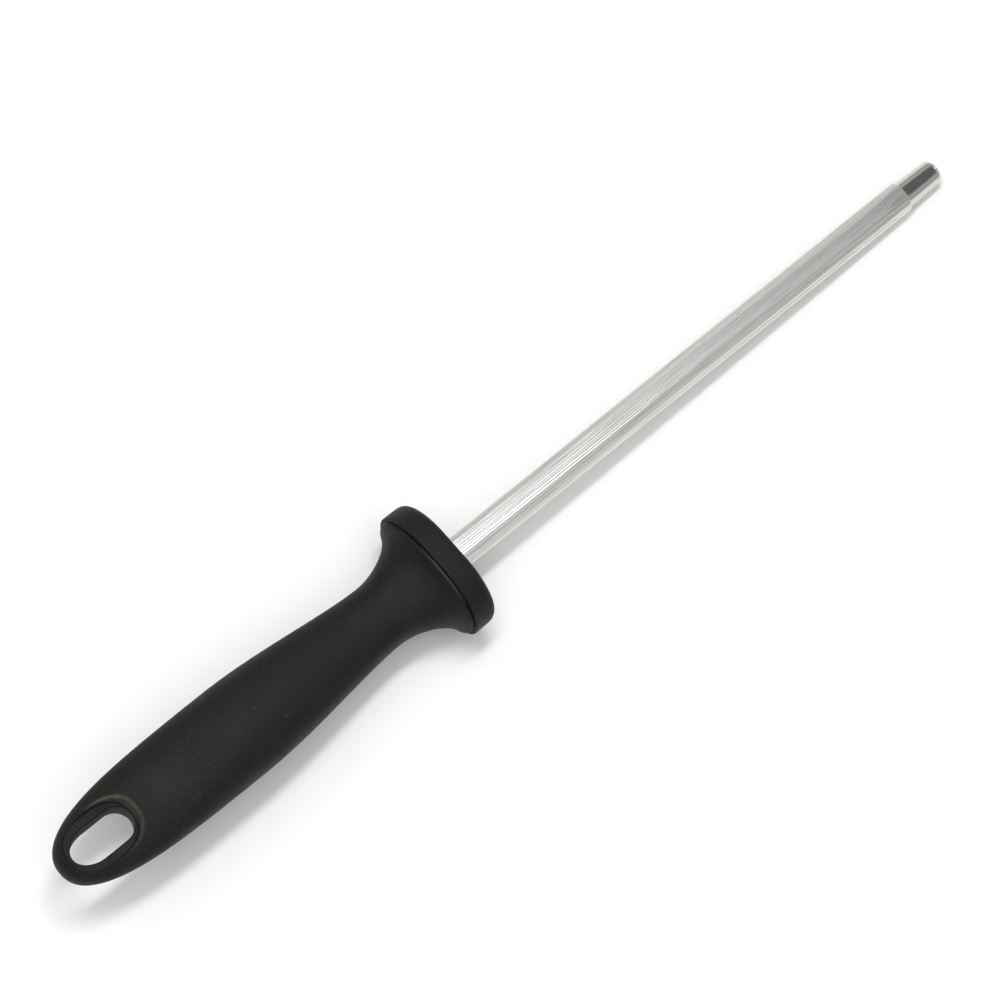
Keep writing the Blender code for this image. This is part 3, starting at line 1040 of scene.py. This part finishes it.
class STEEL_OT_stage(bpy.types.Operator):
    """Set the floor, the light and the camera"""

    bl_idname = "steel.set_stage"
    bl_label = "Stage"

    def execute(self, context):
        stage = context.scene.steel_stage
        self.lay_floor(stage, context.scene.steel_bar)
        self.light_room(stage)
        self.hang_lights(stage)
        self.place_camera(stage)
        context.scene.view_settings.view_transform = "Standard"
        return {"FINISHED"}

    def lay_floor(self, stage, bar):
        """The tool rests on the guard's front edge and on the front end of the ribs."""
        edge = bpy.context.scene.steel_guard.front_round
        tilt = math.atan2(AXIS_Z - bar.diameter / 2, NOSE_END - bar.nose_length + edge)
        bpy.ops.object.select_all(action="DESELECT")
        bpy.ops.mesh.primitive_plane_add(
            size=FLOOR_SIZE, location=(FRONT_X - edge, 0, 0), rotation=(0, -tilt, 0)
        )
        floor = bpy.context.object
        floor.name = "stage_floor"
        bpy.ops.object.transform_apply(location=True, rotation=True, scale=True)
        floor.data.materials.append(floor_paper(stage.floor))

    def light_room(self, stage):
        """A pale room, brighter at the sides than overhead."""
        world = bpy.data.worlds.new("stage_room")
        bpy.context.scene.world = world
        world.use_nodes = True
        tree = world.node_tree
        direction = tree.nodes.new("ShaderNodeTexCoord").outputs["Generated"]
        split = add(tree, "ShaderNodeSeparateXYZ", {0: direction})
        level = remap(tree, split.outputs["Z"], *CEILING_EDGE, stage.walls, stage.ceiling)
        tree.links.new(level, tree.nodes["Background"].inputs["Strength"])
        tree.nodes["Background"].inputs["Color"].default_value = (1.0, 1.0, 0.985, 1)

    def hang_lights(self, stage):
        """A strip for the shadow, a wide dim panel that the steel mirrors, and a card for the nose."""
        self.hang_panel("strip_light", STRIP_PLACE, STRIP_SIZE, stage.strip)
        self.hang_panel("ceiling_panel", PANEL_PLACE, PANEL_SIZE, stage.panel)
        nose = at(-NOSE_END)
        self.hang_panel("nose_card", nose + CARD_FROM_NOSE, CARD_SIZE, stage.card, nose)

    def hang_panel(self, name, place, size, brightness, aim=None):
        """A rectangle of even brightness that shines down, or at a point."""
        way = aim - place if aim else Vector((0, 0, -1))
        turn = way.to_track_quat("-Z", "Y").to_euler()
        bpy.ops.object.light_add(type="AREA", location=place, rotation=turn)
        panel = bpy.context.object
        panel.name = name
        panel.data.shape = "RECTANGLE"
        panel.data.size, panel.data.size_y = size
        panel.data.energy = brightness * math.pi * size[0] * size[1]

    def place_camera(self, stage):
        look = Vector(
            (
                math.sin(stage.azimuth) * math.cos(stage.elevation),
                math.cos(stage.azimuth) * math.cos(stage.elevation),
                -math.sin(stage.elevation),
            )
        )
        turn = look.to_track_quat("-Z", "Y") @ Euler((0, 0, stage.roll)).to_quaternion()
        bpy.ops.object.camera_add(location=CAMERA_AIM - look * stage.distance, rotation=turn.to_euler())
        camera = bpy.context.object
        camera.name = "stage_camera"
        camera.data.lens = stage.lens
        camera.data.sensor_width = 36
        bpy.context.scene.camera = camera


# ---------------------------------------------------------------- the sidebar


class STEEL_PT_sidebar(bpy.types.Panel):
    """The steps that make the sharpening steel, and their sizes"""

    bl_idname = "STEEL_PT_sidebar"
    bl_label = "Sharpening Steel"
    bl_space_type = "VIEW_3D"
    bl_region_type = "UI"
    bl_category = "Steel"

    def draw(self, context):
        for operator in OPERATORS:
            self.layout.operator(operator.bl_idname)
        for name, group in SETTINGS.items():
            box = self.layout.box()
            box.label(text=group.__doc__)
            for setting in group.__annotations__:
                box.prop(getattr(context.scene, name), setting)


SETTINGS = {
    "steel_bar": BarSize,
    "steel_guard": GuardSize,
    "steel_grip": GripSize,
    "steel_eye": EyeSize,
    "steel_finish": Finish,
    "steel_stage": Stage,
}
OPERATORS = (STEEL_OT_bar, STEEL_OT_guard, STEEL_OT_grip, STEEL_OT_core, STEEL_OT_stage)


def register():
    for group in (*SETTINGS.values(), *OPERATORS, STEEL_PT_sidebar):
        bpy.utils.register_class(group)
    for name, group in SETTINGS.items():
        setattr(bpy.types.Scene, name, bpy.props.PointerProperty(type=group))


def unregister():
    for name in SETTINGS:
        delattr(bpy.types.Scene, name)
    for group in reversed((*SETTINGS.values(), *OPERATORS, STEEL_PT_sidebar)):
        bpy.utils.unregister_class(group)


def main():
    register()
    bpy.ops.steel.make_bar()
    bpy.ops.steel.make_guard()
    bpy.ops.steel.make_grip()
    bpy.ops.steel.finish_core()
    bpy.ops.steel.set_stage()


if __name__ == "__main__":
    main()
